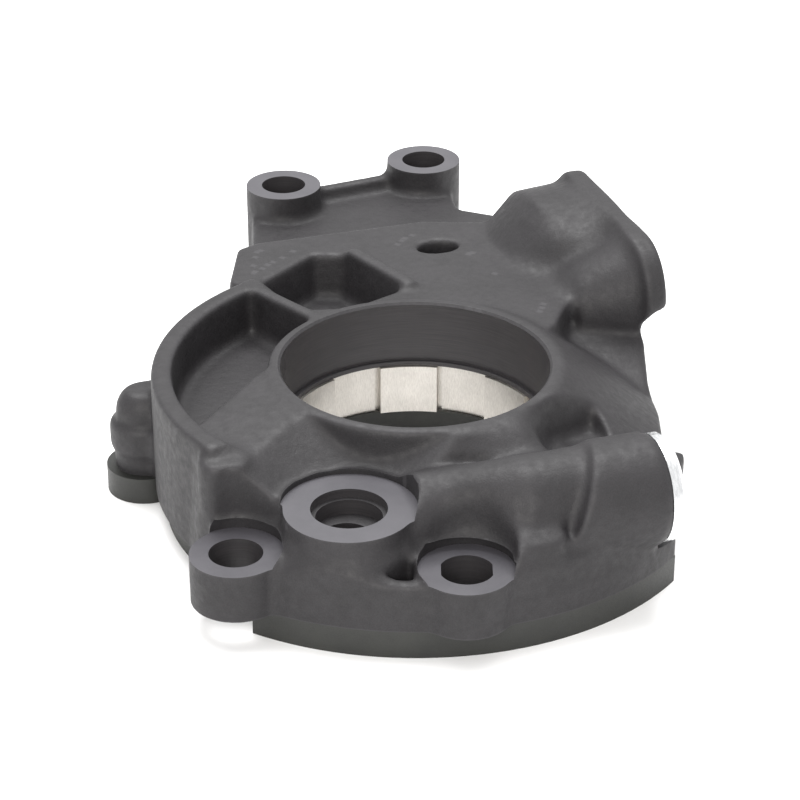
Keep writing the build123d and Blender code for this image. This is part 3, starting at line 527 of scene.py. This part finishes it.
def cut_all(target, cuts):
    """Takes every cutter out of the target's mesh, and the cutters out of the scene."""
    scene = bpy.context.scene
    for i, tool in enumerate(cuts):
        scene.collection.objects.link(tool)
        modifier = target.modifiers.new(f"cut{i}", "BOOLEAN")
        modifier.operation = "DIFFERENCE"
        modifier.solver = "MANIFOLD"
        modifier.object = tool
    bpy.context.view_layer.update()
    evaluated = target.evaluated_get(bpy.context.evaluated_depsgraph_get())
    mesh = bpy.data.meshes.new_from_object(evaluated)
    target.modifiers.clear()
    target.data = mesh
    for tool in cuts:
        bpy.data.objects.remove(tool)


def mark_machined(mesh):
    """Gives the cut faces their machined finish, told from the cast ones by where they lie."""
    count = len(mesh.polygons)
    centres = np.empty(count * 3, np.float32)
    normals = np.empty(count * 3, np.float32)
    mesh.polygons.foreach_get("center", centres)
    mesh.polygons.foreach_get("normal", normals)
    centres = centres.reshape(-1, 3) * 1000
    normals = normals.reshape(-1, 3)
    finish = np.zeros(count, np.int32)
    level = np.abs(normals[:, 2]) > 0.999
    for centre, reach, top in FACED:
        near = np.hypot(centres[:, 0] - centre[0], centres[:, 1] - centre[1]) < reach
        finish[near & level & (np.abs(centres[:, 2] - top) < 0.01)] = 1
    finish[level & (np.abs(centres[:, 2] - REAR_Z) < 0.01)] = 1
    for x in (PICKUP_FACE_X, RELIEF_END_X):
        finish[(np.abs(normals[:, 0]) > 0.999) & (np.abs(centres[:, 0] - x) < 0.01)] = 1
    upright = np.abs(normals[:, 2]) < 0.02
    for centre, radius in BORED:
        distance = np.hypot(centres[:, 0] - centre[0], centres[:, 1] - centre[1])
        finish[upright & (distance < radius + 0.03)] = 2
    mesh.polygons.foreach_set("material_index", finish)


def housing_skin():
    """The casting: its solid as a distance field, softened, with the machined cuts made after."""
    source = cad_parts["housing"].data
    source.calc_loop_triangles()
    points = np.empty(len(source.vertices) * 3, np.float32)
    source.vertices.foreach_get("co", points)
    points = points.reshape(-1, 3) * 1000
    triangles = np.empty(len(source.loop_triangles) * 3, np.int32)
    source.loop_triangles.foreach_get("vertices", triangles)
    low = np.floor(points.min(0) / VOXEL).astype(int) - PAD
    high = np.ceil(points.max(0) / VOXEL).astype(int) + PAD
    cast = field_of(points, triangles.reshape(-1, 3), None, low, high)
    space = Space(low, high)
    holes = machined_space(space)
    inner = passages(space)
    solid = np.minimum(np.minimum(cast, holes), inner)
    rear = REAR_Z + 0.5
    rear_slice = int(round(rear / VOXEL)) - low[2]
    solid = np.where(space.z < rear, solid[:, :, [rear_slice]], solid)
    field = sculpted(closed(solid, low, high, ROOT_FILLET), space, low, high)
    field = np.maximum(field, -np.maximum(np.maximum(inner, -cast), -holes))
    corners, quads = surface_of(field, low)
    mesh = bpy.data.meshes.new("housing_skin")
    mesh.from_pydata((corners * MM).tolist(), [], quads[:, ::-1].tolist())
    skin = bpy.data.objects.new("housing_skin", mesh)
    bpy.context.scene.collection.objects.link(skin)
    cut_all(skin, machined_cuts())
    skin.data.materials.clear()
    for material in (CASTING, MACHINED, TURNED):
        skin.data.materials.append(material)
    smooth_by_angle(skin.data)
    mark_machined(skin.data)
    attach(skin, "pump_body")
    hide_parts("housing")
    return skin


def soft_spring(material):
    """The relief spring, copied from the frame's part, dressed and attached to the pump body."""
    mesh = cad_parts["relief_spring"].data.copy()
    spring = bpy.data.objects.new("relief_coil", mesh)
    bpy.context.scene.collection.objects.link(spring)
    mesh.materials.clear()
    mesh.materials.append(material)
    smooth_by_angle(mesh)
    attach(spring, "pump_body")
    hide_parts("relief_spring")
    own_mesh(spring)


# ---------------------------------------------------------------- studio
def add_camera():
    data = bpy.data.cameras.new("camera")
    data.lens = CAMERA_LENS
    data.sensor_width = CAMERA_SENSOR
    data.clip_start, data.clip_end = 0.01, 10.0
    made = bpy.data.objects.new("camera", data)
    made.location = CAMERA_AT
    made.rotation_euler = (math.radians(90 - CAMERA_DOWN_DEG), 0, math.radians(CAMERA_TURN_DEG))
    bpy.context.scene.collection.objects.link(made)
    bpy.context.scene.camera = made


def add_area(name, at, size, power, colour=(1, 1, 1)):
    """A soft box of light aimed at the pump."""
    data = bpy.data.lights.new(name, "AREA")
    data.shape = "RECTANGLE"
    data.size, data.size_y = size
    data.energy = power
    data.color = colour
    made = bpy.data.objects.new(name, data)
    made.location = at
    aim = Vector((0, 0.02, 0.02)) - Vector(at)
    made.rotation_euler = aim.to_track_quat("-Z", "Y").to_euler()
    bpy.context.scene.collection.objects.link(made)


def add_floor():
    mesh = bpy.data.meshes.new("floor")
    half = 3.0
    corners = [(-half, -half, 0), (half, -half, 0), (half, half, 0), (-half, half, 0)]
    mesh.from_pydata(corners, [], [(0, 1, 2, 3)])
    floor = bpy.data.objects.new("floor", mesh)
    material, tree, shader = new_material("floor_pale")
    vector = mm_coordinates(tree)
    pale = ramp(tree, noise(tree, vector, 60.0), 0.3, 0.7, [(0.90, 0.90, 0.90), (0.92, 0.92, 0.92)])
    tree.links.new(pale, shader.inputs["Base Color"])
    shader.inputs["Roughness"].default_value = 0.9
    mesh.materials.append(material)
    bpy.context.scene.collection.objects.link(floor)


def add_studio():
    world = bpy.data.worlds.new("studio")
    world.use_nodes = True
    background = world.node_tree.nodes["Background"]
    background.inputs["Color"].default_value = (1, 1, 1, 1)
    background.inputs["Strength"].default_value = 1.0
    bpy.context.scene.world = world
    add_floor()
    add_area("top_box", (0.05, 0.25, 0.75), (0.7, 0.5), 9.0)
    add_area("front_box", (-0.35, -0.7, 0.45), (0.6, 0.4), 5.0, (1.0, 0.97, 0.93))
    bpy.context.scene.view_settings.view_transform = "Standard"


CASTING = casting_material()
MACHINED = machined_material()
TURNED = bore_material()
dress("rear_cover", cover_material())
dress("inner_rotor", steel_material(
    "rotor_steel", (0.50, 0.47, 0.43), (0.80, 0.77, 0.72), 0.34, (3, 3, 0.4), 0.012))
dress("outer_rotor", steel_material(
    "outer_rotor_steel", (0.40, 0.38, 0.36), (0.62, 0.60, 0.58), 0.4, (1, 1, 1), 0.01))
valve = steel_material(
    "valve_steel", (0.45, 0.45, 0.46), (0.62, 0.62, 0.63), 0.3, (3, 0.4, 0.4), 0.006)
dress("relief_piston", valve)
soft_spring(valve)
dress("cover_dowels", valve)
dress("relief_plug", steel_material(
    "plug_metal", (0.72, 0.73, 0.74), (0.92, 0.93, 0.94), 0.25, (1, 0.3, 0.3), 0.006))
dress("cover_screws", steel_material(
    "screw_steel", (0.20, 0.20, 0.21), (0.34, 0.34, 0.35), 0.38, (1, 1, 1), 0.006))
dress("relief_plug_seal", rubber_material())
housing_skin()
add_camera()
add_studio()
